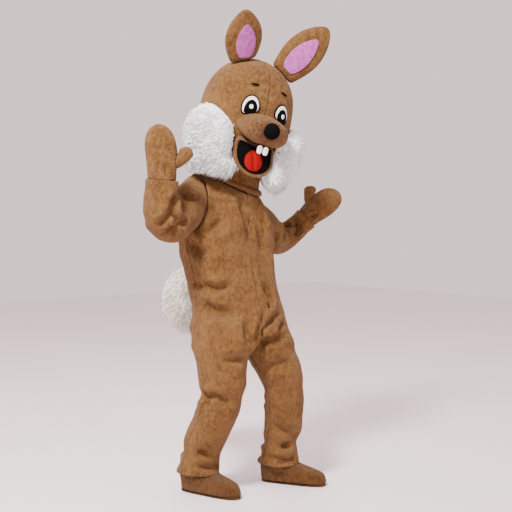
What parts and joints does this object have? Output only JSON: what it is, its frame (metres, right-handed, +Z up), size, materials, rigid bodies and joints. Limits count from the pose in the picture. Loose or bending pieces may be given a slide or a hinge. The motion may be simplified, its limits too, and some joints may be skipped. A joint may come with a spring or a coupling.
{
  "type": "rabbit mascot costume",
  "caption": "Full-body rabbit mascot costume of plush cloth, worn and posed with raised mitts, with a foam head, fur ruffs, feet and a fur tail",
  "frame": {"origin": "the middle of the coverall's neckline, between the wearer's shoulders, where the costume is held up", "axes": "+Z up along the body, -Y the way the coverall's front faces, +X towards the wearer's left"},
  "size_m": [1.201, 0.7767, 2.1162],
  "materials": {
    "body_back_left": "short plush",
    "body_back_right": "short plush",
    "body_front_left": "short plush",
    "body_front_right": "short plush",
    "brow_left": "smooth",
    "brow_right": "smooth",
    "cheek_left": "long fur",
    "cheek_right": "long fur",
    "collar": "short plush",
    "ear_left": "short plush",
    "ear_lining_left": "short plush",
    "ear_lining_right": "short plush",
    "ear_right": "short plush",
    "eye_rim_left": "smooth",
    "eye_rim_right": "smooth",
    "eye_white_left": "satin",
    "eye_white_right": "satin",
    "foot_left": "short plush",
    "foot_right": "short plush",
    "glint_left": "satin",
    "glint_right": "satin",
    "head_left": "short plush",
    "head_right": "short plush",
    "jaw": "short plush",
    "mitt_left": "short plush",
    "mitt_right": "short plush",
    "mouth": "smooth",
    "muzzle": "short plush",
    "neck_skirt": "short plush",
    "nose": "satin",
    "pupil_left": "smooth",
    "pupil_right": "smooth",
    "sleeve_left": "short plush",
    "sleeve_right": "short plush",
    "sole_left": "short plush",
    "sole_right": "short plush",
    "tail": "long fur",
    "thumb_left": "short plush",
    "thumb_right": "short plush",
    "tongue": "felt",
    "tooth_left": "satin",
    "tooth_right": "satin"
  },
  "bodies": {
    "root": {"body_back_left": "body_back_left", "body_back_right": "body_back_right", "body_front_left": "body_front_left", "body_front_right": "body_front_right", "brow_left": "brow_left", "brow_right": "brow_right", "cheek_left": "cheek_left", "cheek_right": "cheek_right", "collar": "collar", "ear_left": "ear_left", "ear_lining_left": "ear_lining_left", "ear_lining_right": "ear_lining_right", "ear_right": "ear_right", "eye_rim_left": "eye_rim_left", "eye_rim_right": "eye_rim_right", "eye_white_left": "eye_white_left", "eye_white_right": "eye_white_right", "foot_left": "foot_left", "foot_right": "foot_right", "glint_left": "glint_left", "glint_right": "glint_right", "head_left": "head_left", "head_right": "head_right", "jaw": "jaw", "mitt_left": "mitt_left", "mitt_right": "mitt_right", "mouth": "mouth", "muzzle": "muzzle", "neck_skirt": "neck_skirt", "nose": "nose", "pupil_left": "pupil_left", "pupil_right": "pupil_right", "sleeve_left": "sleeve_left", "sleeve_right": "sleeve_right", "sole_left": "sole_left", "sole_right": "sole_right", "tail": "tail", "thumb_left": "thumb_left", "thumb_right": "thumb_right", "tongue": "tongue", "tooth_left": "tooth_left", "tooth_right": "tooth_right"}
  },
  "joints": []
}
